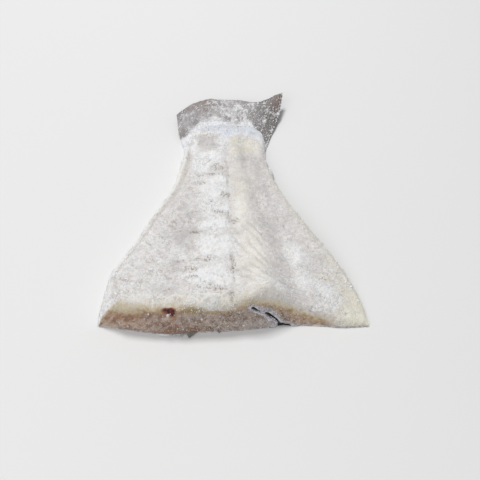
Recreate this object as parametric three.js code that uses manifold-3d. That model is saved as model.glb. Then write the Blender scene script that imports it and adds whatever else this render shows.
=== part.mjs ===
// Salted dried cod: the tail end of a split cod. The fish is opened flat along the backbone and lies on its
// skin, with the flesh up, a sawn end towards -Y and the tail fin towards +Y. The flesh, the skin and the fin
// are one piece. Under the right half the skin folds into a slanted crease that opens at the sawn end.
// Millimetres, +Z up, +X to the fish's right as it lies. The origin is under the middle of its box.
import * as THREE from "three";
import { mergeVertices } from "three/addons/utils/BufferGeometryUtils.js";
import Module from "manifold-3d";

// Driving dimensions.
const LENGTH = 306; // from the sawn end to the middle of the line between the fin's corners
const CUT_WIDTH = 233; // across the sawn end
const CUT_THICKNESS = 27; // of the flesh at the sawn end, beside the backbone line
const FLESH_LENGTH = 271; // from the sawn end to where the flesh ends on the fin
const SKIN = 2; // thickness of the skin layer
const FIN_EDGE = 1.6; // thickness of the fin at its free edge

// The plan outline and the thickness at stations along the fish: shares of the length, of the sawn end's
// width on each side of the backbone line, and of the flesh's thickness at the sawn end.
const ALONG = [0, 0.114, 0.221, 0.357, 0.494, 0.617, 0.731, 0.812, 0.916, 1];
const LEFT = [0.505, 0.503, 0.425, 0.338, 0.254, 0.216, 0.204, 0.22, 0.25, 0.258];
const RIGHT = [0.504, 0.48, 0.427, 0.338, 0.259, 0.209, 0.178, 0.197, 0.256, 0.278];
const THICK = [1, 1, 0.96, 0.89, 0.78, 0.7, 0.62, 0.52, 0.38, 0.3];

// The backbone line drifts to the left along the fish.
const BACKBONE_DRIFT = -9;
const BACKBONE_STRAIGHT_FROM = 180;

// The flesh keeps inside the outline, and past the neck it narrows while the fin spreads.
const FLESH_INSET = 1.2;
const FLESH_NARROWS_FROM = 216; // along the fish
const FLESH_LEFT_AT_END = 37; // from the backbone line
const FLESH_RIGHT_AT_END = 40;
const FLESH_CORNER = 24; // how far before its end the flesh starts to round off in plan
const FLESH_END_SHARE = 0.62; // of the flesh's width that is left at its end
const FLESH_END_ROUND = 8; // radius of its end, seen from the side

// The tail fin: its free edge is askew and bulges, it rises off the surface below, and its right corner
// curls up.
const NECK = 226; // along the fish, where the fin begins to spread
const FIN_SKEW = 15;
const FIN_BULGE = 12;
const FIN_BULGE_TO_LEFT = 30;
const FIN_RISES_FROM = 241; // along the fish
const FIN_LIFT = 9;
const FIN_CORNER_CURL = 8;
const FIN_CURL_FROM = 25; // from the backbone line
const FIN_CURL_TO = 60;

// The sawn end's line in plan, at equal steps across: it bulges forward left of the backbone line.
const CUT_LINE = [0.5, -3, -6.5, -8.3, -5.5, -4.3, -1.5, 1, 1, -0.8, 0.3];

// Features across the fish: their places and widths are shares of the half width, their heights millimetres.
const CREST = { at: 0.22, width: 0.15, height: 8, reach: 75 };
const LEFT_VALLEY = { at: -0.53, width: 0.13, height: -2.2 };
const MIDDLE_BAND = { at: -0.14, width: 0.17, height: 1.6 };
const BACKBONE_GROOVE = { at: 0.06, width: 0.04, height: -2.2 };
const RIGHT_RIDGE = { at: 0.24, width: 0.13, height: 1.8 };
const RIGHT_VALLEY = { at: 0.47, width: 0.1, height: -2.4 };
const LEFT_LIP = { at: -0.96, width: 0.03, height: 1.8 };
const RELIEF = [LEFT_VALLEY, MIDDLE_BAND, BACKBONE_GROOVE, RIGHT_RIDGE, RIGHT_VALLEY, LEFT_LIP];

// The flesh's side edges, and how the right half thins towards its edge, most of all at the sawn end.
const LEFT_EDGE = { height: 8, squareness: 18 };
const RIGHT_EDGE = { height: 3.5, squareness: 8 };
const RIGHT_WING = { from: 0.2, thins: 0.25, thinsAtCut: 0.6, reach: 120 };
const SKIN_CURL = { from: 0.85, height: 1.5 }; // how the skin's edges leave the surface below

// The sawn end leans back towards its rounded upper edge, and so does the flesh's side at its left corner.
const CUT_LEAN = 0.25; // millimetres back for each one up
const WING_LEAN = { at: 0.55, width: 0.3, height: 0.3 }; // how much more it leans right of the crease
const CUT_ROUND = 5;
const CUT_INFLUENCE = 45; // how far along the fish the sawn end's shape fades out
const WALL = { from: 0.75, lean: 0.5, reach: 55 };

// The crease in the sawn end: from its mouth on the underside up to its tip, in x and z.
const CREASE_MOUTH = [36, 50];
const CREASE_LENGTH = 75;
const CREASE_THROAT = [39.5, 3.5]; // where the flared mouth becomes the narrow gap
const CREASE_TIP = [15.8, 22];
const CREASE_SHRINK = 0.9; // share of its size that the crease loses over its length
const CREASE_GAP = 1.8;
const CLEAR = 1; // how far the cutting solid passes the underside
const CLEAR_OF_CUT = 18; // and the sawn end

// Steps of the faceted surface, and how much they crowd towards its edges.
const FLESH_STEPS = { across: 36, up: 3, along: 38 };
const SKIN_STEPS = { across: 26, up: 1, along: 36 };
const CREASE_STEPS = 5;
const CROWDING = { across: 0.5, along: 0.75 };

const { lerp, smoothstep } = THREE.MathUtils;
const ease = (from, to, x) => smoothstep(x, from, to);
const bell = (x, centre, width) => Math.exp(-(((x - centre) / width) ** 2));
const feature = (u, f) => f.height * bell(u, f.at, f.width);

// A smooth curve through values at equal steps of t from 0 to 1.
function glide(values) {
  const curve = new THREE.SplineCurve(values.map((v, i) => new THREE.Vector2(i, v)));
  return (t) => curve.getPoint(t).y;
}
const along = glide(ALONG.map((share) => share * LENGTH));
const leftOf = glide(LEFT.map((share) => share * CUT_WIDTH));
const rightOf = glide(RIGHT.map((share) => share * CUT_WIDTH));
const thickness = glide(THICK.map((share) => share * CUT_THICKNESS));
const sawnLine = glide(CUT_LINE);

// The station t whose place along the fish is y, by halving.
function stationAt(y) {
  let low = 0;
  let high = 1;
  for (let i = 0; i < 30; i++) {
    const middle = (low + high) / 2;
    if (along(middle) < y) low = middle;
    else high = middle;
  }
  return (low + high) / 2;
}

const backbone = (y) => BACKBONE_DRIFT * ease(0, BACKBONE_STRAIGHT_FROM, y);

// How far the sawn end's line lies from straight at u across, faded along the fish.
function cutLine(u, y) {
  return sawnLine((u + 1) / 2) * (1 - ease(0, CUT_INFLUENCE, y));
}

// How far the fin's free edge lies from straight at u across, faded towards the neck.
function finLine(u, y) {
  const line = FIN_SKEW * u + (1 - u * u) * (FIN_BULGE - FIN_BULGE_TO_LEFT * u);
  return line * ease(NECK, LENGTH, y);
}

// Height of the fin's underside: it rises towards its free edge, and its right corner curls up.
function finLift(across, y) {
  const curl = FIN_CORNER_CURL * ease(FIN_CURL_FROM, FIN_CURL_TO, across) * ease(FLESH_LENGTH, LENGTH, y);
  return FIN_LIFT * ease(FIN_RISES_FROM, LENGTH, y) + curl;
}

// Height of the flesh above the skin's upper side.
function fleshHeight(u, y, thick) {
  const nearCut = 1 - ease(0, RIGHT_WING.reach, y);
  const wing = ease(RIGHT_WING.from, 1, u) * (RIGHT_WING.thins + RIGHT_WING.thinsAtCut * nearCut);
  const relief = RELIEF.reduce((sum, f) => sum + feature(u, f), 0) * (thick / CUT_THICKNESS);
  const crest = feature(u, CREST) * (1 - ease(0, CREST.reach, y));
  const crown = thick * (1 - wing) + relief + crest;
  const edge = u < 0 ? LEFT_EDGE : RIGHT_EDGE;
  const roundness = Math.sqrt(1 - Math.min(1, Math.abs(u)) ** edge.squareness);
  return lerp(Math.min(edge.height, crown), crown, roundness);
}

// Drop of a rounded upper edge at a distance from the face below it.
const roundDrop = (distance, radius) =>
  distance >= radius ? 0 : radius - Math.sqrt(Math.max(0, radius ** 2 - (radius - distance) ** 2));

// A point of the flesh: u from -1 at the left to 1 at the right, w from 0 below to 1 above, y along the fish.
function fleshPoint(u, w, y) {
  const t = stationAt(y);
  const past = ease(FLESH_NARROWS_FROM, FLESH_LENGTH, y);
  const corner = Math.max(0, (y - FLESH_LENGTH + FLESH_CORNER) / FLESH_CORNER);
  const end = 1 - (1 - FLESH_END_SHARE) * corner ** 3;
  const left = lerp(leftOf(t) - FLESH_INSET, FLESH_LEFT_AT_END, past) * end;
  const right = lerp(rightOf(t) - FLESH_INSET, FLESH_RIGHT_AT_END, past) * end;
  const across = lerp(-left, right, (u + 1) / 2);
  const drop = roundDrop(y, CUT_ROUND) + roundDrop(FLESH_LENGTH - y, FLESH_END_ROUND);
  const top = Math.max(SKIN, fleshHeight(u, y, thickness(t)) + SKIN - drop);
  const z = finLift(across, y) + lerp(SKIN / 2, top, w);
  const wall = WALL.lean * ease(WALL.from, 1, -u) * (1 - ease(0, WALL.reach, y));
  const lean = (CUT_LEAN + feature(u, WING_LEAN)) * (1 - ease(0, CUT_INFLUENCE, y));
  return new THREE.Vector3(backbone(y) + across + wall * z, y + cutLine(u, y) + lean * z, z);
}

// A point of the skin and the tail fin, with the same u, w and y.
function skinPoint(u, w, y) {
  const t = stationAt(y);
  const across = lerp(-leftOf(t), rightOf(t), (u + 1) / 2);
  const thick = lerp(SKIN, FIN_EDGE, ease(NECK, LENGTH, y));
  const curl = SKIN_CURL.height * ease(SKIN_CURL.from, 1, Math.abs(u));
  const z = finLift(across, y) + curl + w * thick;
  return new THREE.Vector3(backbone(y) + across, y + cutLine(u, y) + finLine(u, y), z);
}

// Steps that crowd towards both ends of 0 to 1, by the given share.
const crowd = (q, share) => lerp(q, (1 - Math.cos(Math.PI * q)) / 2, share);

// A block whose surface is bent to the shape that point(u, w, y) gives, y from 0 to length.
function bentBlock(steps, length, point) {
  const block = new THREE.BoxGeometry(1, 1, 1, steps.across, steps.along, steps.up);
  block.translate(0.5, 0.5, 0.5);
  const places = block.getAttribute("position");
  const v = new THREE.Vector3();
  for (let i = 0; i < places.count; i++) {
    v.fromBufferAttribute(places, i);
    const u = 2 * crowd(v.x, CROWDING.across) - 1;
    const bent = point(u, v.z, length * crowd(v.y, CROWDING.along));
    places.setXYZ(i, bent.x, bent.y, bent.z);
  }
  return block;
}

// The crease as a solid to cut away: a flared mouth and a narrow slanted gap that shrink along the fish.
function creaseBlock() {
  const [tipX, tipZ] = CREASE_TIP;
  const [mouthLeft, mouthRight] = CREASE_MOUTH;
  const [throatX, throatZ] = CREASE_THROAT;
  const section = new THREE.Shape([
    new THREE.Vector2(mouthLeft, -CLEAR),
    new THREE.Vector2(mouthRight, -CLEAR),
    new THREE.Vector2(throatX + CREASE_GAP, throatZ),
    new THREE.Vector2(tipX + CREASE_GAP / 2, tipZ + CREASE_GAP / 2),
    new THREE.Vector2(tipX - CREASE_GAP / 2, tipZ),
    new THREE.Vector2(throatX - CREASE_GAP, throatZ),
  ]);
  const block = new THREE.ExtrudeGeometry(section, { depth: 1, steps: CREASE_STEPS, bevelEnabled: false });
  const places = block.getAttribute("position");
  for (let i = 0; i < places.count; i++) {
    const y = lerp(-CLEAR_OF_CUT, CREASE_LENGTH, places.getZ(i));
    const size = 1 - (CREASE_SHRINK * Math.max(0, y)) / CREASE_LENGTH;
    const x = throatX + (places.getX(i) - throatX) * size;
    const z = places.getY(i) < 0 ? places.getY(i) : places.getY(i) * size;
    places.setXYZ(i, x, y, z);
  }
  return block;
}

const wasm = await Module();
wasm.setup();

// A geometry as a solid that can be joined and cut. Faces that bending has turned round are turned back.
function solidOf(geometry) {
  const bare = new THREE.BufferGeometry().setAttribute("position", geometry.getAttribute("position"));
  const merged = mergeVertices(geometry.index ? bare.setIndex(geometry.index) : bare, 1e-3);
  const triVerts = new Uint32Array(merged.index.array);
  const vertProperties = merged.getAttribute("position").array;
  const make = () => new wasm.Manifold(new wasm.Mesh({ numProp: 3, vertProperties, triVerts }));
  const solid = make();
  if (solid.volume() > 0) return solid;
  for (let i = 0; i < triVerts.length; i += 3) {
    [triVerts[i], triVerts[i + 1]] = [triVerts[i + 1], triVerts[i]];
  }
  return make();
}

// A solid as a geometry.
function geometryOf(solid) {
  const { vertProperties, triVerts, numProp } = solid.getMesh();
  const places = new Float32Array((vertProperties.length / numProp) * 3);
  for (let i = 0; i < places.length / 3; i++) {
    places.set(vertProperties.subarray(i * numProp, i * numProp + 3), i * 3);
  }
  return new THREE.BufferGeometry()
    .setAttribute("position", new THREE.BufferAttribute(places, 3))
    .setIndex(new THREE.BufferAttribute(triVerts, 1));
}

const flesh = solidOf(bentBlock(FLESH_STEPS, FLESH_LENGTH, fleshPoint));
const skinAndFin = solidOf(bentBlock(SKIN_STEPS, LENGTH, skinPoint));
const crease = solidOf(creaseBlock());

const fish = new THREE.Mesh(
  geometryOf(flesh.add(skinAndFin).subtract(crease)),
  new THREE.MeshStandardMaterial({ color: 0xe6e3dc, roughness: 0.85, metalness: 0 }),
);
fish.name = "salted_cod_tail";

fish.geometry.computeBoundingBox();
const middle = fish.geometry.boundingBox.getCenter(new THREE.Vector3());
fish.position.set(-middle.x, -middle.y, -fish.geometry.boundingBox.min.z);
fish.geometry.computeVertexNormals();

const part = new THREE.Group();
part.add(fish);

export default part;
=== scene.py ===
"""Salted dried cod, the tail end of a split fish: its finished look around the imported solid.

Shapes are worked out in millimetres in the fish's own frame: x across from the backbone line at the sawn
end, y along the fish from the sawn end to the tail, z up from the surface that it lies on. They are moved
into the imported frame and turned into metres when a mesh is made. Places on the flesh are (x from the
backbone line, y), and u across a piece goes from -1 at its left edge to 1 at its right one.
"""
import math

import bmesh
import bpy
import numpy as np
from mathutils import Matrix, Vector


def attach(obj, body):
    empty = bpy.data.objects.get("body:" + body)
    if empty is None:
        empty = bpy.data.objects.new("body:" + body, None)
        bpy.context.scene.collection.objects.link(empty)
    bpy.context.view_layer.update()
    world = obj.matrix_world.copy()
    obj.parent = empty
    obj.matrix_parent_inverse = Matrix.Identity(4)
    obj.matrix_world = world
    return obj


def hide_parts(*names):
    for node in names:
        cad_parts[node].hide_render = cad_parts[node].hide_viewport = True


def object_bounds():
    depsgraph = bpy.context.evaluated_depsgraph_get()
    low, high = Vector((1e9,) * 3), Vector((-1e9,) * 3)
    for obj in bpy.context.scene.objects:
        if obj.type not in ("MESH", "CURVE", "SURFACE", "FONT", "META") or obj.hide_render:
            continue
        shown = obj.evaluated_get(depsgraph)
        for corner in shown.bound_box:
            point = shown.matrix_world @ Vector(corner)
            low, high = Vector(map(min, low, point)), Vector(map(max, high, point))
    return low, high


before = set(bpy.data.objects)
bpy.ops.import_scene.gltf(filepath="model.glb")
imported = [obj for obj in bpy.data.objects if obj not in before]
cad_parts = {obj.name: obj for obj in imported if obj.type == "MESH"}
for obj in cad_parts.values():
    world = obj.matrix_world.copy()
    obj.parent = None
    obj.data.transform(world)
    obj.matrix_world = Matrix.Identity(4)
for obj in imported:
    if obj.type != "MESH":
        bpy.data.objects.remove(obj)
cad_low, cad_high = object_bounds()

NODE = "salted_cod_tail"
BODY = "root"
MM = 0.001
# Least heights over the flat: of the skin and grains, of the flesh and scraps, and of the skin's upper side.
SKIN_LOWEST = 0.02
FLESH_LOWEST = 0.05
SKIN_TOP_LOWEST = 0.1

# The fish's sizes, in millimetres, as its solid has them.
LENGTH = 306
CUT_WIDTH = 233
CUT_THICKNESS = 27
SKIN = 2.0
FIN_EDGE = 1.1
NECK = 226
ALONG = np.array([0, 0.114, 0.221, 0.357, 0.494, 0.617, 0.731, 0.812, 0.916, 1]) * LENGTH
LEFT = np.array([0.511, 0.499, 0.422, 0.337, 0.253, 0.216, 0.204, 0.215, 0.240, 0.253]) * CUT_WIDTH
RIGHT = np.array([0.504, 0.480, 0.427, 0.338, 0.259, 0.209, 0.178, 0.197, 0.254, 0.276]) * CUT_WIDTH
THICK = np.array([1, 1, 0.96, 0.89, 0.78, 0.7, 0.62, 0.52, 0.38, 0.3]) * CUT_THICKNESS
# The sawn end's line in plan, at equal steps across.
CUT_LINE = np.array([0.5, -3, -6.5, -8.3, -5.5, -4.3, -1.5, 1, 1, -0.8, 0.3])

BACKBONE_DRIFT = -9
BACKBONE_STRAIGHT_FROM = 180
# The flesh's plan: it lies a little inside the outline, narrows past the neck and ends on the fin.
FLESH_INSET = 0.4
FLESH_NARROWS_FROM = 216
FLESH_NARROWS_TO = 262
FLESH_HALF_WIDTH_AT_END = 40
FLESH_END = 274
FLESH_TAPER = 24
FLESH_TAPER_DEPTH = 9.5
FLESH_CORNER = 24
FLESH_END_SHARE = 0.66
# The fin's free edge reaches further on the right and bulges, and the fin rises towards it.
FIN_SKEW = 15
FIN_BULGE = 12
FIN_BULGE_TO_LEFT = 30
FIN_RISES_FROM = 241
FIN_LIFT = 9
# How high the fin's right corner curls, where that starts and ends across, and where it starts along.
FIN_CORNER_CURL = 8
FIN_CURL_FROM = 25
FIN_CURL_TO = 60
FIN_CURL_RISES_FROM = 271
# The fin's free edge is a little angular: how far past its smooth line it reaches, at shares across.
FREE_EDGE_AT = np.array([-1, -0.73, -0.63, -0.36, -0.24, -0.06, 0.14, 0.31, 0.545, 0.7, 0.85, 1])
FREE_EDGE = np.array([0, 1.4, 1.5, 2.6, 1.0, 1.5, 4.6, 4.8, 2.9, 2.4, 4.0, 3.4])

# Features across the fish: (place, width) in shares of the half width, and height in millimetres.
CREST = (0.22, 0.15, 8)
CREST_REACH = 75
RELIEF = [
    (-0.53, 0.13, -2.2),  # left valley
    (-0.14, 0.17, 1.6),  # salted band beside the backbone line
    (0.06, 0.05, -2.0),  # backbone groove
    (0.24, 0.13, 1.8),  # right ridge
    (0.47, 0.10, -2.4),  # right valley
]
# The flesh's section is an oval of these powers at its left and right edges, and of the last past the neck.
EDGE_POWERS = (18.0, 20.0)
END_POWER = 5
# The lip along the left edge: its width near the sawn end and further back, its height, its groove's depth.
LIP_WIDTHS = (5.4, 6.6)
LIP_HEIGHT = 2.8
LIP_GROOVE = 1.8
# The sawn end: millimetres back for each one up, how much more on the right wing, its edge's radius, and how
# far along the fish it tells.
CUT_LEAN = 0.25
WING_LEAN = (0.55, 0.3, 0.3)
CUT_ROUND = 5
CUT_INFLUENCE = 45
# How far the left edge's wall leans in for each millimetre up, and for how far along the fish.
WALL_LEAN = 0.55
WALL_REACH = 60

# From the fish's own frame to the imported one: the solid's greatest x is at the sawn end, and its greatest y
# at the fin's right tip.
SHIFT = np.array([cad_high.x / MM - RIGHT[0], cad_high.y / MM - (LENGTH + FIN_SKEW), 0.0])


# ---------------------------------------------------------------- curves and noise, on whole arrays

def ease(start, end, x):
    """Rises smoothly from 0 at start to 1 at end: 3t^2 - 2t^3 of the share t of the way."""
    t = np.clip((x - start) / (end - start), 0, 1)
    return t * t * (3 - 2 * t)


def fall(start, end, x):
    """Falls smoothly from 1 at start to 0 at end."""
    return 1 - ease(start, end, x)


def bell(x, centre, width):
    """A Gaussian bell of height 1: e to the minus square of the distance over the width."""
    return np.exp(-(((x - centre) / width) ** 2))


def feature(u, place_width_height):
    """A bell across the fish with the given place, width and height."""
    place, width, height = place_width_height
    return height * bell(u, place, width)


def mix(a, b, t):
    """The straight blend a + (b - a) t."""
    return a + (b - a) * t


def glide(values, t):
    """A smooth curve through values at equal steps of t from 0 to 1: cubics with their neighbours' slopes."""
    last = len(values) - 1
    place = np.clip(t, 0, 1) * last
    i = np.minimum(np.floor(place).astype(int), last - 1)
    w = place - i
    before, here = values[np.maximum(i - 1, 0)], values[i]
    there, after = values[i + 1], values[np.minimum(i + 2, last)]
    a, b = (there - before) / 2, (after - here) / 2
    return ((2 * here - 2 * there + a + b) * w - 3 * here + 3 * there - 2 * a - b) * w * w + a * w + here


STATIONS = np.linspace(0, 1, 2001)
STATION_Y = glide(ALONG, STATIONS)


def outline(y):
    """Left and right half widths and the thickness at y, all glided through their stations."""
    t = np.interp(y, STATION_Y, STATIONS)
    return glide(LEFT, t), glide(RIGHT, t), glide(THICK, t)


TABLE = 128  # random numbers along each side of a noise's table, which then repeats


def noise(x, y, size, seed):
    """Gradient noise, about -1 to 1: slopes in random directions at the corners of squares, blended smoothly.

    A slope's height is its direction times the way from its corner. The blend is 6t^5 - 15t^4 + 10t^3.
    """
    table = np.random.default_rng(seed).uniform(0, 2 * np.pi, (TABLE, TABLE))
    a, b = x / size, y / size
    i, j = np.floor(a).astype(int), np.floor(b).astype(int)
    p, q = a - i, b - j
    s, t = p**3 * (p * (6 * p - 15) + 10), q**3 * (q * (6 * q - 15) + 10)

    def corner(di, dj):
        angle = table[(i + di) % TABLE, (j + dj) % TABLE]
        return np.cos(angle) * (p - di) + np.sin(angle) * (q - dj)

    low = mix(corner(0, 0), corner(1, 0), s)
    high = mix(corner(0, 1), corner(1, 1), s)
    return 1.5 * mix(low, high, t)


def cloud(x, y, size, seed, octaves=4, gain=0.5):
    """Noise on noise: each layer half as large and gain times as high as the last, and turned a little."""
    total, height, reach = 0.0, 1.0, 0.0
    for k in range(octaves):
        total = total + height * noise(x, y, size, seed + k)
        reach += height
        x, y = 0.8 * x - 0.6 * y + 17.3, 0.6 * x + 0.8 * y - 9.1
        size, height = size / 2, height * gain
    return total / reach


def crumbs(x, y, size, seed, share=1.0):
    """Heights of rounded crumbs: each square has one dome, at a random place in it and of a random radius.

    The height is the greatest of the neighbouring domes' sqrt(r^2 - d^2), in shares of the size.
    """
    rng = np.random.default_rng(seed)
    px, py, radius, there = rng.random((4, TABLE, TABLE))
    a, b = x / size, y / size
    i, j = np.floor(a).astype(int), np.floor(b).astype(int)
    height = np.zeros_like(a)
    for di in (-1, 0, 1):
        for dj in (-1, 0, 1):
            m, n = (i + di) % TABLE, (j + dj) % TABLE
            gap = (i + di + px[m, n] - a) ** 2 + (j + dj + py[m, n] - b) ** 2
            r = np.where(there[m, n] < share, 0.3 + 0.45 * radius[m, n], 0)
            height = np.maximum(height, np.sqrt(np.maximum(0, r * r - gap)))
    return height


def patches(x, y, places, power=2.0):
    """The greatest of soft ovals around places, each e to the minus (distance in half sizes)^power.

    A place's fifth number is its strength, which is 1 if there is none.
    """
    total = np.zeros(np.broadcast(x, y).shape)
    for px, py, half_x, half_y, *strength in places:
        gap = np.hypot((x - px) / half_x, (y - py) / half_y)
        total = np.maximum(total, np.exp(-(gap**power)) * (strength or [1])[0])
    return total


# ---------------------------------------------------------------- the fish's plan and heights

def backbone(y):
    """x of the backbone line: an eased drift to the left, then straight."""
    return BACKBONE_DRIFT * ease(0, BACKBONE_STRAIGHT_FROM, y)


def share_across(x, y):
    """-1 at the left outline to 1 at the right one, for x from the backbone line."""
    left, right, _ = outline(y)
    return np.clip(2 * (x + left) / (left + right) - 1, -1, 1)


def cut_line(x, y):
    """How far the sawn end's line in plan lies from straight, faded along the fish."""
    return glide(CUT_LINE, (share_across(x, y) + 1) / 2) * fall(0, CUT_INFLUENCE, y)


def cut_lean(x, y):
    """How far back the sawn end leans for each millimetre up, faded along the fish."""
    return (CUT_LEAN + feature(share_across(x, y), WING_LEAN)) * fall(0, CUT_INFLUENCE, y)


def fin_line(u, y):
    """How far the fin's free edge lies from straight, faded towards the neck."""
    line = FIN_SKEW * u + (1 - u * u) * (FIN_BULGE - FIN_BULGE_TO_LEFT * u)
    line = line + np.interp(u, FREE_EDGE_AT, FREE_EDGE)
    return line * ease(NECK, LENGTH, y)


def fin_lift(across, y):
    """Height of the fin's underside: it rises to its free edge, and its right corner curls up."""
    curl = FIN_CORNER_CURL * ease(FIN_CURL_FROM, FIN_CURL_TO, across) * ease(FIN_CURL_RISES_FROM, LENGTH, y)
    return FIN_LIFT * ease(FIN_RISES_FROM, LENGTH, y) + curl


def edge_wander(y, seed):
    """How unevenly the flesh's edge runs: slow waves, and small nibbles on them."""
    return 0.8 * cloud(y, 0 * y + seed, 22, seed, 3) + 0.9 * cloud(y, 0 * y, 4.5, seed + 9, 2)


def flesh_plan(u, y):
    """x from the backbone line at u across the flesh: narrower past the neck, its end's corners round."""
    left, right, _ = outline(y)
    past = ease(FLESH_NARROWS_FROM, FLESH_NARROWS_TO, y)
    corner = np.clip((y - FLESH_END + FLESH_CORNER) / FLESH_CORNER, 0, 1)
    end = 1 - (1 - FLESH_END_SHARE) * corner**3
    left = mix(left - FLESH_INSET + edge_wander(y, 3), FLESH_HALF_WIDTH_AT_END, past) * end
    right = mix(right - FLESH_INSET + edge_wander(y, 5), FLESH_HALF_WIDTH_AT_END, past) * end
    return mix(-left, right, (u + 1) / 2)


# Soft ovals on the flesh: (x, y, half width, half length), and a strength where it isn't 1. Salt lies in
# patches between the rough rows that the backbone's joints left.
SALT_PATCHES = [
    (-24, 199, 14, 15), (-12, 168, 12, 7), (-10, 150, 13, 8), (-12, 124, 12, 8), (-12, 100, 13, 8),
    (-14, 71, 20, 11), (-20, 32, 20, 9), (-16, 5, 20, 6), (-60, 8, 40, 7), (-20, 259, 20, 8),
    (18, 259, 22, 8), (62, 34, 15, 13, 0.6), (58, 66, 9, 16, 0.6), (-88, 18, 14, 8, 0.4),
    (-6, 230, 8, 14, 0.8), (-36, 226, 5, 16), (30, 10, 22, 9, 0.7), (84, 23, 13, 17, 0.75),
    (-70, 60, 34, 46, 0.2),
]
ROUGH_PLACES = [
    (-14, 175, 16, 3), (-26, 163, 6, 3), (-17, 132, 5, 3), (-3, 142, 3, 5), (-12, 118, 5, 2.4),
    (-5, 115, 5, 3), (4, 105, 6, 4), (-31, 89, 6, 2), (-23, 53, 13, 2.6), (-39, 42, 8, 3.5),
    (1, 42, 4, 4), (0, 54, 2, 7), (-36, 33, 6, 2), (-24, 20, 11, 3.4, 0.8), (-12, 17, 5, 2),
    (-2, 9, 2, 8), (-8, 187, 9, 7, 0.7), (-47, 53, 5, 2), (-101, 31, 4, 1.6), (-92, 28, 7, 1.5),
    (-92, 16, 3, 1.5), (-58, 21, 3, 1.6), (-74, 73, 3, 1.6), (47, 110, 2, 5, 0.4), (52, 101, 2, 4, 0.4),
    (56, 82, 2, 8, 0.4), (84, 42, 10, 1.4, 0.5), (80, 48, 8, 1.2, 0.5), (78, 18, 3, 2.4, 0.6),
    (50, 17, 2.4, 6, 0.5),
]
# The flesh's own grey, except the long patch along the sawn end at (-70, 6), which is painted shadow on the
# slope that faces forward.
GREY_AND_SHADE_PATCHES = [
    (-44, 92, 13, 17), (-36, 113, 9, 13), (-60, 20, 10, 16, 0.2), (-53, 40, 7, 14, 0.8),
    (-22, 241, 12, 9), (-16, 227, 11, 7), (40, 98, 9, 28, 0.7), (46, 50, 7, 22, 0.4),
    (48, 16, 6, 12, 0.4), (36, 150, 9, 22, 0.65), (-36, 70, 7, 7), (20, 190, 20, 32, 0.6),
    (-70, 6, 46, 5, 0.4), (24, 206, 20, 18, 0.9), (-28, 208, 9, 5, 0.8),
]
IVORY_PATCHES = [(14, 180, 13, 42), (18, 60, 15, 50), (24, 10, 14, 20), (12, 120, 9, 30), (26, 214, 14, 22)]
YELLOW_PATCHES = [
    (12, 236, 8, 9, 0.8), (27, 232, 8, 10, 0.7), (8, 214, 5, 10, 0.6), (15, 150, 10, 22, 0.4),
    (104, 2, 16, 14), (-46, 182, 4, 18, 0.8),
]
OCHRE_PATCHES = [(7, 238, 3, 8), (83, 45, 12, 4, 0.5), (97, 26, 6, 10, 0.4), (20, 224, 5, 7)]


def wander(x, y):
    """Places pushed about by slow noise, so that the ovals around them get ragged outlines."""
    return x + 7 * cloud(x, y, 14, 301, 4, 0.6), y + 7 * cloud(x, y, 14, 311, 4, 0.6)


def lip_distance(x, y):
    """Distance in from the left edge, in shares of the lip's width there."""
    left, _, _ = outline(y)
    return (x + left) / mix(*LIP_WIDTHS, ease(30, 150, y))


# The flesh ends in two lobes on the fin: their tops' places along the fish, at places across. White salt
# covers all from there to the second line.
LOBES_AT = [-42, -39, -37, -34, -24, -8, 0, 5, 17, 33, 39, 42]
LOBES = [215, 229, 244, 252, 255, 251, 240, 247, 251, 247, 229, 213]
WHITE_AT = [-50, -42.5, -31.6, -15.7, -3, 9.4, 19.7, 27.7, 34.3, 39.7, 42.7, 48]
WHITE_TO = [258, 268.5, 277.8, 280.6, 278, 276, 279.7, 276, 266, 250, 235, 225]


def lobe_rim(x, y):
    """The raised white rim where the left lobe ends on the fin."""
    return bell(y - np.interp(x, LOBES_AT, LOBES), -3, 2.6) * fall(-32, -14, x) * ease(215, 232, y)


def right_edge(x, y):
    """1 at the right edge, which is free of salt and yellow, falling to 0 inwards."""
    _, right, _ = outline(y)
    strength = (1 - 0.2 * ease(20, 55, y)) * fall(150, 215, y)
    return np.exp(-((np.maximum(right - x, 0) / mix(17, 9, ease(20, 150, y))) ** 2)) * strength


def salt_cover(x, y):
    """Share of the surface that salt covers."""
    band = bell(x, -14, 20) * fall(205, 235, y)
    about = wander(x, y)
    cover = 0.38 + 0.16 * band + 0.42 * patches(*about, SALT_PATCHES, 4.0)
    cover = cover - 0.24 * patches(*about, GREY_AND_SHADE_PATCHES) - 0.14 * patches(x, y, IVORY_PATCHES)
    cover = cover - 0.1 * right_edge(x, y) + 0.3 * lobe_rim(x, y)
    cover = cover + 0.45 * frozen_end(x, y) + 0.25 * fall(0.5, 1.1, lip_distance(x, y))
    return np.clip(cover + 0.15 * cloud(x, y, 22, 31) + 0.14 * cloud(x, y, 6, 37, 3), 0, 1)


def frozen_end(x, y):
    """1 past the lobes' tops, 0 on them."""
    return ease(-6, 6, y - np.interp(x, LOBES_AT, LOBES) + 4 * cloud(x, y, 8, 41, 3))


FIBRE_SLANT = math.radians(33)
FIBRE_GAP = 7.8


def fibre_zone(x, y):
    """Where muscle fibres show: right of the backbone line, in the fish's front half."""
    return ease(1, 7, x) * fall(24, 38, x) * ease(4, 22, y) * fall(88, 120, y)


def fibres(x, y):
    """Fibre ridges, -1 to 1, that run forwards and outwards: twice the root of a sine's size, less 1.

    The root makes round ridges with sharp furrows.
    """
    across = x * math.cos(FIBRE_SLANT) + y * math.sin(FIBRE_SLANT)
    across = across + 3.4 * cloud(x, y, 24, 43, 2) + 0.6 * noise(x, y, 6, 47)
    ridges = 2 * np.sqrt(np.abs(np.sin(np.pi * across / FIBRE_GAP))) - 1
    return mix(1, ridges, ease(-0.6, 0.1, noise(x, y, 15, 49)))


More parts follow.
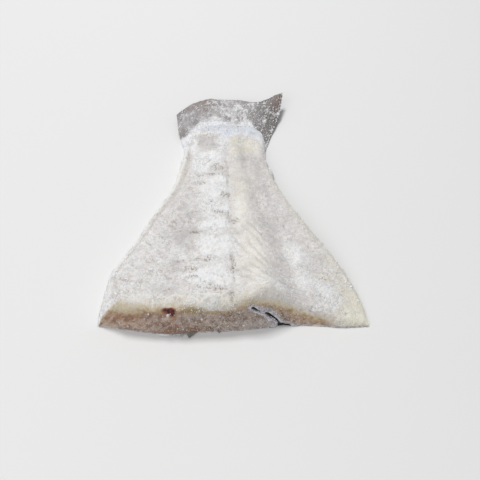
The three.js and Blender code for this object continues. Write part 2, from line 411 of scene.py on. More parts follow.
def spine_marks(x, y):
    """Broken dark line along the backbone."""
    middle = 1.0 + 1.3 * noise(y, 0 * y, 15, 71)
    return bell(x, middle, 1.5) * ease(-0.1, 0.4, noise(y, 0 * y + 3, 17, 73)) * fall(120, 190, y)


def pitted(x, y):
    """Where small pits are strewn: in the band beside the backbone line, and most near the sawn end."""
    return 0.20 * bell(x, -16, 30) * fall(225, 245, y) * ease(-0.3, 0.4, cloud(x, y, 12, 77, 2))


def flesh_height(u, x, y):
    """Height of the flesh above its skin: thickness, ridges and valleys, times sqrt(1 - |u|^power)."""
    _, _, thick = outline(y)
    near_cut = fall(0, 120, y)
    wing = ease(0.2, 1, u) * (0.25 + 0.6 * near_cut)
    shape = sum(feature(u, f) for f in RELIEF) * (thick / CUT_THICKNESS) * (1 - 0.7 * ease(215, 245, y))
    crown = thick * (1 - wing) + shape + feature(u, CREST) * fall(0, CREST_REACH, y)
    lip = lip_distance(x, y)
    along = ease(12, 45, y) * fall(215, 250, y)
    crown = crown + (LIP_HEIGHT * bell(lip, 0.5, 0.45) - LIP_GROOVE * bell(lip, 1.45, 0.36)) * along
    power = mix(np.where(u < 0, *EDGE_POWERS), END_POWER, ease(236, 272, y))
    return crown * np.sqrt(np.maximum(0, 1 - np.abs(u) ** power))


def flesh_relief(u, x, y):
    """Fine heights on the flesh: slow unevenness, fibres, lumpy salt crust, rough places and cracks."""
    salt = salt_cover(x, y)
    slow = 0.8 * cloud(x, y, 36, 53, 2)
    grain = 0.9 * fibres(x, y) * fibre_zone(x, y)
    lumps = (0.60 + 0.50 * salt) * cloud(x, y, 6.5, 61, 4, 0.6)
    crust = ease(0.45, 0.9, salt) * (0.30 + 1.2 * crumbs(x, y, 2.8, 59, 0.5))
    crust = crust + 0.5 * crumbs(x, y, 3.4, 63, 0.4)
    rough = patches(x, y, ROUGH_PLACES) * (1.6 * cloud(x, y, 2.8, 67, 2) - 0.6)
    groove = -1.3 * spine_marks(x, y)
    step = 0.3 * np.floor(1.5 * cloud(x, y, 15, 81, 3) + 0.5) * bell(x, -20, 34) + 1.1 * lobe_rim(x, y)
    edge = fall(0.95, 1, np.abs(u))
    return (slow + grain + lumps + crust + rough + groove + step) * edge


# ---------------------------------------------------------------- the crease and the underside's path

CREASE_LENGTH = 75
# The skin's underside across the crease at the sawn end, (x, z): from the flat, up the left flank to the tip,
# and down the right flank to the flat. The two flanks nearly touch.
CREASE_PATH = np.array([
    (30, 0), (34.0, 0), (35.8, 0.5), (37.4, 1.8), (37.8, 3.2), (35.9, 5.2), (33.9, 7.5), (32.0, 8.9),
    (28.4, 12.5), (25.8, 14.4), (21.5, 16.9), (18.0, 18.9), (15.2, 20.6), (14.0, 22.2), (15.2, 23.3),
    (17.2, 22.6), (19.4, 20.7), (22.5, 18.1), (27.2, 16.3), (30.2, 14.6), (34.0, 11.2), (36.2, 9.2),
    (38.4, 6.3), (40.0, 4.2), (42.6, 3.2), (46, 2.8), (49.0, 1.5), (50.6, 0), (56, 0),
], float)
# The shares across, u, between which the skin lies in the crease.
CREASE_FROM = -0.18
CREASE_TO = 0.50
CREASE_STEPS = np.concatenate([[0], np.cumsum(np.hypot(*np.diff(CREASE_PATH, axis=0).T))])
CREASE_U = mix(CREASE_FROM, CREASE_TO, CREASE_STEPS / CREASE_STEPS[-1])
# Along the fish the crease shrinks by a share of its size towards its foot, and fades at its end.
CREASE_FOOT = 39.5
CREASE_SHRINK = 0.95
CREASE_FADE = 12
# The slit between the two flanks, from its tip down to its mouth.
SLIT_X = np.array([15.8, 18.6, 22.0, 26.4, 29.0, 32.8, 34.7, 37.0, 39.0, 44.0, 50.0])
SLIT_Z = np.array([21.7, 19.6, 17.5, 15.3, 13.7, 9.9, 8.3, 5.5, 2.8, 2.2, 0.0])


def underside(u, y, x_flat):
    """The line that the skin's underside follows across: flat, with the crease folded up into it at the cut.

    The crease is a path that shrinks along the fish, and the flat stretches beside it until they meet.
    """
    size = 1 - CREASE_SHRINK * np.clip(y / CREASE_LENGTH, 0, 1)
    px = CREASE_FOOT + (np.interp(u, CREASE_U, CREASE_PATH[:, 0]) - CREASE_FOOT) * size
    pz = np.interp(u, CREASE_U, CREASE_PATH[:, 1]) * size
    first = CREASE_FOOT + (CREASE_PATH[0, 0] - CREASE_FOOT) * size
    last = CREASE_FOOT + (CREASE_PATH[-1, 0] - CREASE_FOOT) * size
    flat_left = mix(x_flat[:, :1], first, (u + 1) / (CREASE_FROM + 1))
    flat_right = mix(last, x_flat[:, -1:], (u - CREASE_TO) / (1 - CREASE_TO))
    in_crease = (u >= CREASE_FROM) & (u <= CREASE_TO)
    x = np.where(in_crease, px, np.where(u < CREASE_FROM, flat_left, flat_right))
    z = np.where(in_crease, pz, 0)
    fold = fall(CREASE_LENGTH - CREASE_FADE, CREASE_LENGTH + CREASE_FADE, y)
    return mix(x_flat, x, fold), z * fold


def side_ways(x, z):
    """Unit normals (-dz, dx) of the lines across: on their left as u grows, the flesh's side of the skin."""
    dx, dz = np.gradient(x, axis=1), np.gradient(z, axis=1)
    size = np.maximum(np.hypot(dx, dz), 1e-9)
    return -dz / size, dx / size


# ---------------------------------------------------------------- meshes

def fill_mesh(name, vertices, faces):
    """A mesh from vertices in millimetres in the fish's frame and arrays of faces with equal corners each."""
    mesh = bpy.data.meshes.new(name)
    places = (np.asarray(vertices, float) + SHIFT) * MM
    loops = np.concatenate([f.reshape(-1) for f in faces])
    totals = np.concatenate([np.full(len(f), f.shape[1]) for f in faces])
    mesh.vertices.add(len(places))
    mesh.vertices.foreach_set("co", places.astype(np.float32).ravel())
    mesh.loops.add(len(loops))
    mesh.loops.foreach_set("vertex_index", loops.astype(np.int32))
    mesh.polygons.add(len(totals))
    mesh.polygons.foreach_set("loop_start", (np.cumsum(totals) - totals).astype(np.int32))
    mesh.polygons.foreach_set("loop_total", totals.astype(np.int32))
    mesh.update(calc_edges=True)
    return mesh


MERGE = 2e-6  # metres
NO_AREA = 1e-6


def close_up(mesh):
    """Merges doubled vertices, drops faces without area and turns all faces outwards."""
    shape = bmesh.new()
    shape.from_mesh(mesh)
    bmesh.ops.remove_doubles(shape, verts=shape.verts, dist=MERGE)
    bmesh.ops.dissolve_degenerate(shape, edges=shape.edges, dist=NO_AREA)
    bmesh.ops.recalc_face_normals(shape, faces=shape.faces)
    shape.to_mesh(mesh)
    shape.free()


def give(mesh, name, values):
    """Adds a number at each vertex, which the material reads by its name."""
    numbers = np.asarray(values, np.float32).ravel()
    mesh.attributes.new(name, "FLOAT", "POINT").data.foreach_set("value", numbers)


def add_object(name, data):
    """An object at the origin, in the scene."""
    thing = bpy.data.objects.new(name, data)
    bpy.context.scene.collection.objects.link(thing)
    return thing


def finish_piece(mesh, material, smooth):
    """Makes the object, smooth or faceted, on the fish's body, in the place of its solid."""
    mesh.polygons.foreach_set("use_smooth", np.full(len(mesh.polygons), smooth))
    mesh.materials.append(material)
    piece = add_object(mesh.name, mesh)
    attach(piece, BODY)
    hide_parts(NODE)


def grid_faces(index):
    """The quads between neighbouring rows and columns of a grid of vertex numbers."""
    return np.stack([index[:-1, :-1], index[:-1, 1:], index[1:, 1:], index[1:, :-1]], axis=-1).reshape(-1, 4)


def make_shell(name, low, high, masks, material):
    """A closed thin piece: a lower and an upper grid of places, with a band around their rim."""
    rows, columns = low.shape[:2]
    first = np.arange(rows * columns).reshape(rows, columns)
    second = first + rows * columns
    rim = np.concatenate([first[0], first[1:, -1], first[-1, -2::-1], first[-2:0:-1, 0]])
    next_rim = np.roll(rim, -1)
    band = np.stack([rim, next_rim, next_rim + rows * columns, rim + rows * columns], axis=-1)
    mesh = fill_mesh(name, np.concatenate([low.reshape(-1, 3), high.reshape(-1, 3)]),
                     [grid_faces(first)[:, ::-1], grid_faces(second), band])
    for label, values in masks.items():
        give(mesh, label, np.tile(values.ravel(), 2))
    give(mesh, "beneath", np.repeat([1.0, 0.0], rows * columns))
    close_up(mesh)
    finish_piece(mesh, material, True)


FLESH_COLUMNS = 250
FLESH_ROW_STEP = 1.1
FACE_ROWS = 27
ROUND_ROWS = 8
END_ROWS = 20
FOOT_ROWS = 4
UNDER_EVERY = 6  # the underside has every sixth row
EVEN_AT = 60.0  # y where the columns are evenly spread


def even_columns():
    """u of the flesh's columns, spread so that they are even along its upper line across at EVEN_AT."""
    u = -np.cos(np.linspace(0, np.pi, 4001))
    y = np.full_like(u, EVEN_AT)
    x = flesh_plan(u, y)
    length = np.concatenate([[0], np.cumsum(np.hypot(np.diff(x), np.diff(flesh_height(u, x, y))))])
    return np.interp(np.linspace(0, length[-1], FLESH_COLUMNS), length, u)[None, :]


def flesh_rows():
    """y, share of the height and drop of each row: up the sawn face, round its edge, along, down the end."""
    face = np.linspace(0, 1, FACE_ROWS)
    turn = np.linspace(0, np.pi / 2, ROUND_ROWS)[1:]
    along = np.arange(CUT_ROUND, FLESH_END - FLESH_TAPER, FLESH_ROW_STEP)[1:]
    end = np.sin(np.linspace(0, np.pi / 2, END_ROWS))
    down = np.linspace(1, 0, FOOT_ROWS)[1:]
    y = np.concatenate([0 * face, CUT_ROUND * (1 - np.cos(turn)), along,
                        FLESH_END - FLESH_TAPER * (1 - end), 0 * down + FLESH_END])
    share = np.concatenate([face, 0 * turn + 1, 0 * along + 1, 0 * end + 1, down])
    drop = np.concatenate([0 * face + CUT_ROUND, CUT_ROUND * (1 - np.sin(turn)), 0 * along,
                           FLESH_TAPER_DEPTH * mix(1 - np.sqrt(1 - end**2), end**2, 0.6),
                           0 * down + FLESH_TAPER_DEPTH])
    return y[:, None], share[:, None], drop[:, None]


# Spots on the sawn face: (x, z, half width, half height), and a strength where it isn't 1.
FACE_SPOTS = {
    "blood": [
        (-61.0, 28.4, 2.6, 2.6), (-57.2, 27.0, 4.0, 4.4), (-53.4, 24.8, 4.0, 4.0),
        (-52.0, 22.0, 2.2, 2.6),
    ],
    "orange": [
        (-63.5, 26, 3.6, 3.4), (-48, 10, 7, 6), (-98, 18, 18, 6), (-56, 3, 14, 2.4), (-34, 2.5, 16, 2.4),
        (-51, 18, 5, 5), (-40, 4, 10, 4), (-78, 23, 16, 3, 0.6),
    ],
    "dark": [
        (20.4, 11.8, 4, 3.6), (25.6, 9.5, 2.6, 2.4), (-40, 13, 9, 4, 0.8), (21, 16, 3, 2),
        (-56, 9, 7, 5, 0.5), (-44, 5, 9, 4, 0.7), (-24, 4, 14, 3, 0.4), (2, 17, 6, 3, 0.5),
        (11, 14, 6, 6, 0.5), (-72, 15, 7, 5, 0.4),
    ],
    "pale": [
        (8.9, 5.9, 2.6, 3.0), (22.2, 6.5, 4.0, 3.0), (-46.7, 13.9, 1.4, 4, 0.6), (-43, 7, 1.4, 3, 0.5),
        (31, 3, 6, 2), (16.5, 4.6, 4.0, 2.6, 0.7), (3, 8, 3, 3, 0.5), (-96, 4, 14, 3, 0.3),
        (-26, 19, 10, 2.6, 0.4), (-14, 14, 5, 2.4, 0.4), (-36, 17, 4, 2, 0.5),
    ],
}
OLIVE_SPOTS = [
    (-35.2, 23.4, 5.2, 3.4), (-27.8, 23.8, 3.6, 2.6, 0.8), (14, 29, 9, 2.6, 0.4), (-20, 21, 6, 2, 0.3),
]


def face_relief(x, z):
    """How far the sawn face stands out: slow waves, fibres that slant up to the right, torn bits and pits."""
    slow = 0.9 * cloud(x, z, 26, 101, 3)
    slant = np.cos(2 * np.pi * (z * 0.8 - x * 0.55 + 1.8 * noise(x, z, 9, 103)) / 3.4)
    torn = 0.6 * cloud(x, z, 3.4, 107, 2)
    pits = -1.6 * patches(x, z, FACE_SPOTS["blood"]) - 0.9 * patches(x, z, FACE_SPOTS["dark"])
    return slow + 0.2 * slant + torn + pits


def flesh_grid():
    """Places of the flesh's vertices: rows from the foot of the sawn face to that of the end, and below.

    A place is the blend, by the row's share of the height, of the underside's line and the upper line.
    """
    u = even_columns()
    y, share, drop = flesh_rows()
    x = flesh_plan(u, y)
    y_all = y + 0 * u
    height = flesh_height(u, x, y_all)
    drop = drop * ease(0, 6, height) * (0.75 + 0.25 * ease(0, 12, height))
    top = np.maximum(SKIN * 0.6, height + flesh_relief(u, x, y_all) - drop) + SKIN * 0.5
    low_x, low_z = underside(u + 0 * y, y_all, x)
    side_x, side_z = side_ways(low_x, low_z)
    # The flesh wraps round the skin's edges.
    sunk = SKIN * (0.5 - 0.42 * ease(0.9, 0.98, np.abs(u)))
    low_x, low_z = low_x + side_x * sunk, low_z + side_z * sunk
    lift = fin_lift(x, y_all)
    wall = WALL_LEAN * ease(0.75, 1, -u) * fall(0, WALL_REACH, y)

    def place(px, pz, out):
        py = y + cut_line(px, y_all) + cut_lean(px, y_all) * pz - out
        return np.stack([px + backbone(y) + wall * pz, py, np.maximum(pz + lift, FLESH_LOWEST)], axis=-1)

    px, pz = mix(low_x, x, share), mix(low_z, top, share)
    out = face_relief(px, pz) * fall(0, 4, y) * np.clip(share * 7, 0, 1)
    return y_all, share, x, place(px, pz, out), place(low_x, low_z, 0)


FACE_HALF = 118  # half the sawn face's width, for the shares across at which its tones lie
# How its colours lie on it: (place across, height where its yellow band starts, height where the white top
# starts).
FACE_LINES = np.array([
    (-118, 13.5, 29), (-97, 16.5, 29), (-86, 18, 29), (-62, 23, 31), (-54, 24, 31), (-40, 24, 30),
    (-33, 22.5, 28), (-28, 21.5, 25), (-20, 20, 23.2), (-8, 20, 23.6), (1, 20, 23), (6, 22, 27),
    (9, 23.5, 31), (17.6, 23, 29.5), (26, 21, 28), (34.7, 17.5, 25), (43.5, 13, 20.4), (48, 11.5, 18),
    (57, 8, 13.2), (65, 6, 10.5), (74, 4.5, 9), (90, 2, 8), (118, -3, 7),
])
FACE_AT, BAND_FROM, WHITE_FROM = FACE_LINES.T
# How bare of salt the top is close to the sawn end, at places across.
BARE_AT = [-118, -108, -100, -88, -76, -66, -58, -46, -38, -32, -16, -8, 0, 8, 20, 60]
BARE = [0, 0.1, 0.3, 0.45, 0.6, 0.85, 1, 1, 0.6, 0.15, 0.1, 0.5, 0.6, 0.4, 0.15, 0]
# White also covers the left wall, whose edge on the face is at these places across and heights.
LEFT_WHITE_AT = [-117, -115.8, -114.0, -111.5, -108.5, -106.3, -106.8, -107.5]
LEFT_WHITE_FROM = [0, 3.2, 8.8, 12, 15.2, 18.4, 24, 40]


RIM_STEPS = 160  # along the crease's path
RIM_ENDS = 8  # how many of them at each end lie on the flat


def slit_rim(x, z):
    """Where the sawn skin shows pale beside the crease: near its flanks, wider on the lower one."""
    steps = np.linspace(0, CREASE_STEPS[-1], RIM_STEPS)[RIM_ENDS:-RIM_ENDS]
    line_x, line_z = (np.interp(steps, CREASE_STEPS, CREASE_PATH[:, k]) for k in (0, 1))
    gap = np.full(x.shape, np.inf)
    for px, pz in zip(line_x, line_z):
        gap = np.minimum(gap, np.hypot(x - px, z - pz))
    below = z < np.interp(x, SLIT_X, SLIT_Z)
    wide = np.where(below, 1.9 + 2.3 * ease(24, 33, x), 2.6 + 0.8 * ease(18, 30, x))
    wide = wide * (1 - 0.6 * ease(38, 46, x))
    return fall(0.55, 1.25, gap / wide + 0.8 * cloud(x, z, 5.0, 175, 3, 0.5))


def flesh_masks(x, y, share, places):
    """Numbers at the flesh's upper vertices that say where its materials' tones lie."""
    face_x, face_z = places[..., 0], places[..., 2]
    ragged = 1.6 * cloud(face_x, face_z + y, 9, 171, 3)
    band, white = np.interp(face_x, FACE_AT, BAND_FROM), np.interp(face_x, FACE_AT, WHITE_FROM)
    wall = np.interp(face_z, LEFT_WHITE_FROM, LEFT_WHITE_AT)
    to_right = ease(-36, 6, face_x)
    near, on_face = fall(0.5 + 5 * to_right, 5 + 7 * to_right, y + ragged), fall(0.5, 3.0, y)
    rim = np.zeros_like(x)
    front = share.ravel() < 1
    rim[front] = slit_rim(face_x[front], face_z[front]) * on_face[front]
    inner = ease(-1.2, 0.6, face_x - wall + 0.5 * ragged) * fall(74, 96, face_x)
    lip = lip_distance(x, y)
    whole = ease(12, 45, y) * fall(205, 225, y)
    salt = salt_cover(x, y)
    about = wander(x, y)
    rough = patches(x, y, ROUGH_PLACES) + spine_marks(x, y) + pitted(x, y)
    bare = np.interp(x, BARE_AT, BARE) * bell(y, 0, 12) * (1 + 0.7 * cloud(x, y, 7, 173, 3))
    masks = {
        "salt": salt,
        "face": fall(-3, 3.5, face_z - white + ragged) * near * inner,
        "band": ease(-5, 7, face_z - band + 1.4 * ragged),
        "rim": rim,
        "across": (face_x + FACE_HALF) / (2 * FACE_HALF),
        # Grey flesh, and painted shadow along the sawn end.
        "grey": patches(*about, GREY_AND_SHADE_PATCHES) * (1 - 0.6 * ease(0.5, 0.9, salt)),
        "ivory": patches(*about, IVORY_PATCHES),
        "yellow": np.clip(patches(*about, YELLOW_PATCHES) + right_edge(*about), 0, 1),
        "ochre": patches(*about, OCHRE_PATCHES),
        "rough": np.clip(rough, 0, 1) * (1 - on_face),
        # Positive on the lip's salted ridge; negative in its groove, which gets painted shadow.
        "lip": (bell(lip, 0.5, 0.6) - 0.75 * bell(lip, 1.5, 0.32)) * whole + lobe_rim(x, y),
        "fibre": ease(-1, 0.8, -fibres(x, y)) * fibre_zone(x, y),
        "frozen": frozen_end(x, y) * (1 - 0.8 * ease(30, 40, np.abs(x))),
        "cream": fall(4, 22, y) * bell(x, -10, 46),
        "bare": np.clip(bare, 0, 1),
        "olive": fall(1.5, 5, y) * patches(face_x, face_z, OLIVE_SPOTS),
    }
    masks.update({name: on_face * patches(face_x, face_z, spots) for name, spots in FACE_SPOTS.items()})
    return masks


def make_flesh(material):
    """The flesh as one closed surface: the upper grid, and below it a sparser one with the same columns."""
    y, share, x, upper, lower = flesh_grid()
    rows, columns = upper.shape[:2]
    picked = np.unique(np.append(np.arange(0, rows, UNDER_EVERY), rows - 1))
    # Rows of the sawn face all have the same underside, so only the first of them is kept.
    picked = picked[(picked == 0) | (picked >= FACE_ROWS)]
    upper_index = np.arange(rows * columns).reshape(rows, columns)
    inner = lower[picked[1:-1], 1:-1]
    inner_count = inner.shape[0] * inner.shape[1]
    lower_index = np.empty((len(picked), columns), int)
    lower_index[0], lower_index[-1] = upper_index[0], upper_index[-1]
    lower_index[1:-1, 0], lower_index[1:-1, -1] = upper_index[picked[1:-1], 0], upper_index[picked[1:-1], -1]
    lower_index[1:-1, 1:-1] = rows * columns + np.arange(inner_count).reshape(inner.shape[:2])
    faces = [grid_faces(upper_index), grid_faces(lower_index[:, 1:-1])[:, ::-1]]
    for k in range(len(picked) - 1):
        for edge, next_to in ((0, 1), (-1, -2)):
            side = upper_index[picked[k]:picked[k + 1] + 1, edge]
            corner = np.concatenate([side, [lower_index[k + 1, next_to], lower_index[k, next_to]]])
            faces.append(corner[None, :])
    mesh = fill_mesh("flesh", np.concatenate([upper.reshape(-1, 3), inner.reshape(-1, 3)]), faces)
    masks = flesh_masks(x, y, share, upper)
    for name, values in masks.items():
        give(mesh, name, np.concatenate([values.ravel(), np.zeros(inner_count)]))
    close_up(mesh)
    finish_piece(mesh, material, True)
    return x, y, share, upper, masks


SKIN_COLUMNS = (52, 120, 44)  # left of the crease, in it, and right of it
SKIN_EDGE_U = [-0.996, -0.988, 0.988, 0.996]
SKIN_ROW_STEP = 3.5
FIN_ROW_STEP = 1.0
FIN_ROWS_FROM = NECK - 6
SKIN_TUCK = 2.6  # how far the flesh's edges stand over the skin
RAYS = 15


def fin_fan(u, x, y):
    """Angle across the fin's rays, which spread from the neck and fork near the free edge."""
    return u * np.pi * RAYS + 0.8 * cloud(x, y, 24, 131, 2)


def fin_relief(u, x, y):
    """Fin rays as ridges on a membrane that ripples and is salted in lumps."""
    fan = fin_fan(u, x, y)
    forked = mix(np.cos(fan * 2), np.cos(fan * 4), ease(285, 315, y))
    ripple = 0.9 * cloud(x, y, 30, 137, 2) + 0.3 * cloud(x, y, 5, 139, 2)
    return ease(262, 282, y) * (0.10 * forked + ripple)


def fin_salt(x, y):
    """Share of the fin that salt covers: all beside the flesh, fine dust on the left, clumps on the right."""
    whole = fall(-20, 16, y - np.interp(x, WHITE_AT, WHITE_TO) + 6 * cloud(x, y, 10, 149, 4, 0.6))
    dust = 0.32 + 0.10 * bell(x, -6, 22) + 0.34 * cloud(x, y, 8, 153, 4, 0.7)
    dust = dust + 0.22 * cloud(x, y, 2.6, 167, 2, 0.8)
    clumps = 0.32 - 0.06 * ease(22, 34, x) + 0.26 * bell(x, 8, 12) * bell(y, 292, 12)
    clumps = clumps + 0.56 * cloud(x, y, 12, 159, 3, 0.6) + 0.42 * cloud(x, y, 3.4, 163, 2, 0.8)
    cover = mix(dust, clumps, ease(-2, 16, x))
    cover = np.maximum(cover, 0.75 * fall(-44, -40, x) * fall(254, 272, y))
    return np.clip(np.maximum(cover, whole), 0, 1)


def make_skin(material):
    """Skin and tail fin as one thin closed shell."""
    a, b, c = SKIN_COLUMNS
    u = np.concatenate([SKIN_EDGE_U, np.linspace(-1, CREASE_FROM, a)[:-1],
                        np.linspace(CREASE_FROM, CREASE_TO, b), np.linspace(CREASE_TO, 1, c)[1:]])
    u = np.sort(u)[None, :]
    y = np.concatenate([[0, 0.5, 1.5, 3], np.arange(6, FIN_ROWS_FROM, SKIN_ROW_STEP),
                        np.arange(FIN_ROWS_FROM, LENGTH, FIN_ROW_STEP), [LENGTH]])[:, None]
    y_all = y + 0 * u
    left, right, _ = outline(y)
    tuck = SKIN_TUCK * fall(200, 222, y)
    ragged = ease(0.9, 1, np.abs(u)) * np.sign(u) * 0.7 * cloud(y_all, u * 3, 7, 151, 3) * ease(200, 226, y)
    x_flat = mix(-left + tuck, right - tuck, (u + 1) / 2) + ragged
    low_x, low_z = underside(u + 0 * y, y_all, x_flat)
    side_x, side_z = side_ways(low_x, low_z)
    in_crease = (u > CREASE_FROM) & (u < CREASE_TO)
    thick = mix(SKIN, FIN_EDGE, ease(NECK, LENGTH - 20, y)) * (1 - 0.45 * ease(0.97, 1, np.abs(u)))
    bared = bell(x_flat, 12, 34)
    thick = thick * (1 - 0.45 * fall(0, 8, y) * ~in_crease * (1 - bared))
    lift = np.maximum(fin_lift(x_flat, y_all) + fin_relief(u, x_flat, y_all), 0) + SKIN_LOWEST
    tear = 0.8 * cloud(u * 60, 0 * u, 6, 157, 3) * ease(LENGTH - 14, LENGTH, y)
    proud = (0.25 + 0.45 * in_crease) * fall(0, 2, y)
    wavy = 0.7 * cloud(low_x, low_z, 4, 161, 2) * fall(0, 6, y)
    salted = fin_salt(x_flat, y_all)
    crust = ease(NECK - 4, NECK + 10, y) * salted * (0.1 + 0.6 * crumbs(x_flat, y_all, 3.2, 163, 0.7))

    def place(x, z):
        py = y_all + cut_line(x, y_all) + fin_line(u, y_all) + tear + cut_lean(x, y_all) * z - proud + wavy
        return np.stack([x + backbone(y), py, z + lift], axis=-1)

    over = place(low_x + side_x * thick, np.maximum(low_z + side_z * thick + crust, SKIN_TOP_LOWEST))
    brown = bell(x_flat, -34, 20) * ease(288, 318, y_all + fin_line(u, y_all))
    brown = brown + ease(40, 58, x_flat) * ease(276, 300, y_all) + 0.5 * ease(0.93, 1, np.abs(u))
    masks = {
        "fin": ease(NECK - 4, NECK + 24, y_all),
        "dark": ease(20, 42, x_flat),
        "salt": np.where(y_all < NECK - 10, 0.35, salted),
        "edge": fall(0.3, 1.6, y_all),
        "crease": 1.0 * in_crease + 0 * y_all,
        "bared": bared,
        # Deep in the crease, where the skin's underside gets painted black shadow.
        "deep": in_crease * ease(0.4, 2.0, y_all),
        "ray": 0.5 + 0.5 * np.cos(2 * fin_fan(u, x_flat, y_all)),
        "brown": np.clip(brown, 0, 1),
        "frozen": fall(-16, -2, y_all - np.interp(x_flat, WHITE_AT, WHITE_TO)),
    }
    make_shell("skin_and_fin", place(low_x, low_z), over, masks, material)
    return x_flat, y_all, over, salted


# Scraps of skin under the sawn end, and a black scrap in the crease's mouth that is painted shadow: name,
# foot (x, y), width, reach, rise at the foot, share lost to the tip, how far aside the tip is, salt, seed and
# how much painted shadow it is.
SCRAPS = [
    ("skin_scrap", (-36.6, -6.5), 10, 5.0, 1.2, 0.95, -0.17, 0.2, 201, 0.0),
    ("skin_scrap_small", (-13, -4.5), 3, 2.6, 0.8, 0.8, 0, 0.2, 203, 0.0),
    ("skin_fringe", (-55, -8.2), 24, 2.4, 0.6, 0.3, 0.1, 0.62, 205, 0.0),
    ("skin_at_crease", (43.6, 2.9), 13, 1.9, 1.3, 0.1, 0.0, 0.0, 207, 1.0),
]
SCRAP_THICKNESS = 0.8


def make_scrap(name, foot, width, reach, rise, narrows, tip, salted, seed, painted_shadow, material):
    """A scrap of skin hanging forward from under the sawn end, narrowing to a tip aside of its middle.

    At s across and t along it is at foot + (width ((s - 1/2) (1 - narrows t) + tip t), -reach t). It falls
    from its rise as 1 - t and arches as sin(pi s) t.
    """
    s, t = np.meshgrid(np.linspace(0, 1, 33), np.linspace(0, 1, 13))
    across = s * width
    x = foot[0] + width * ((s - 0.5) * (1 - narrows * t) + tip * t) + 0.7 * cloud(across, t * 5, 3, seed, 2)
    y = foot[1] - reach * t * (1 + 0.5 * cloud(across, 0 * t, 4, seed + 5, 3))
    y = y + 1.2 * np.cos(np.pi * s) * t * tip
    z = 0.4 + rise * (1 - t) + 0.9 * np.sin(np.pi * s) * t + 0.4 * cloud(across, t * 9, 3, seed + 9, 2)
    low = np.stack([x, y, np.maximum(z, FLESH_LOWEST)], axis=-1)
    # The last number makes the scrap black: painted shadow in the crease's mouth.
    masks = {"salt": salted + 0.25 * (0.5 - s), "painted_shadow": painted_shadow + 0 * s}
    make_shell(name, low, low + np.array([0, 0, SCRAP_THICKNESS]), masks, material)


# ---------------------------------------------------------------- salt grains

BOX_CORNERS = np.array([(a, b, c) for a in (-1, 1) for b in (-1, 1) for c in (-1, 1)], float)
BOX_FACES = np.array([(0, 1, 3, 2), (4, 6, 7, 5), (0, 4, 5, 1), (2, 3, 7, 6), (0, 2, 6, 4), (1, 5, 7, 3)])
# A regular solid of twenty triangles, for rounder lumps.
GOLD = (1 + math.sqrt(5)) / 2
LUMP_CORNERS = np.array([
    (-1, GOLD, 0), (1, GOLD, 0), (-1, -GOLD, 0), (1, -GOLD, 0), (0, -1, GOLD), (0, 1, GOLD),
    (0, -1, -GOLD), (0, 1, -GOLD), (GOLD, 0, -1), (GOLD, 0, 1), (-GOLD, 0, -1), (-GOLD, 0, 1),
]) / GOLD
LUMP_FACES = np.array([
    (0, 11, 5), (0, 5, 1), (0, 1, 7), (0, 7, 10), (0, 10, 11), (1, 5, 9), (5, 11, 4), (11, 10, 2), (10, 7, 6),
    (7, 1, 8), (3, 9, 4), (3, 4, 2), (3, 2, 6), (3, 6, 8), (3, 8, 9), (4, 9, 5), (2, 4, 11), (6, 2, 10),
    (8, 6, 7), (9, 8, 1),
])


def random_turns(count, rng):
    """Random rotations, from random unit quaternions."""
    q = rng.normal(size=(count, 4))
    w, x, y, z = (q / np.linalg.norm(q, axis=1)[:, None]).T
    return np.stack([
        np.stack([1 - 2 * (y * y + z * z), 2 * (x * y - z * w), 2 * (x * z + y * w)], -1),
        np.stack([2 * (x * y + z * w), 1 - 2 * (x * x + z * z), 2 * (y * z - x * w)], -1),
        np.stack([2 * (x * z - y * w), 2 * (y * z + x * w), 1 - 2 * (x * x + y * y)], -1),
    ], axis=1)


def spots_on(grid, weight, count, rng):
    """Random places on a grid of places, more where the weight is, and the surface's outward direction there.

    A cell's chance is its area times its weight, and the place in it is even along both its sides.
    """
    a, b, c, d = grid[:-1, :-1], grid[:-1, 1:], grid[1:, 1:], grid[1:, :-1]
    out = np.cross(c - a, d - b)
    area = np.linalg.norm(out, axis=-1)
    out = out / np.maximum(area, 1e-9)[..., None]
    chance = (area * weight[:-1, :-1]).ravel()
    cell = rng.choice(len(chance), count, p=chance / chance.sum())
    s, t = rng.random((2, count, 1))
    a, b, c, d, out = (v.reshape(-1, 3)[cell] for v in (a, b, c, d, out))
    return mix(mix(a, b, s), mix(d, c, s), t), out


# Grains, in shares of their size: half their sides, how far corners are pushed about, how far they stand up.
GRAIN_HALF = (0.32, 0.56)
GRAIN_DENT = 0.13
GRAIN_RISE = 0.15


def make_grains(name, places, out, sizes, material, rng, lumpy=False):
    """Salt grains: boxes or lumps of uneven sides, their corners pushed about, turned at random, sunk in.

    A corner is at place + out size rise + turn (corner of the plain shape, times half sides, times 1 + dent).
    """
    count = len(places)
    shape, shape_faces = (LUMP_CORNERS, LUMP_FACES) if lumpy else (BOX_CORNERS, BOX_FACES)
    half = sizes[:, None] * rng.uniform(*GRAIN_HALF, (count, 3))
    corners = shape[None] * half[:, None] * (1 + rng.normal(0, GRAIN_DENT, (count, len(shape), 3)))
    corners = np.einsum("nij,nkj->nki", random_turns(count, rng), corners)
    vertices = (corners + (places + out * sizes[:, None] * GRAIN_RISE)[:, None]).reshape(-1, 3)
    vertices[:, 2] = np.maximum(vertices[:, 2], SKIN_LOWEST)
    faces = shape_faces[None] + len(shape) * np.arange(count)[:, None, None]
    mesh = fill_mesh(name, vertices, [faces.reshape(-1, shape_faces.shape[1])])
    finish_piece(mesh, material, lumpy)


# ---------------------------------------------------------------- materials

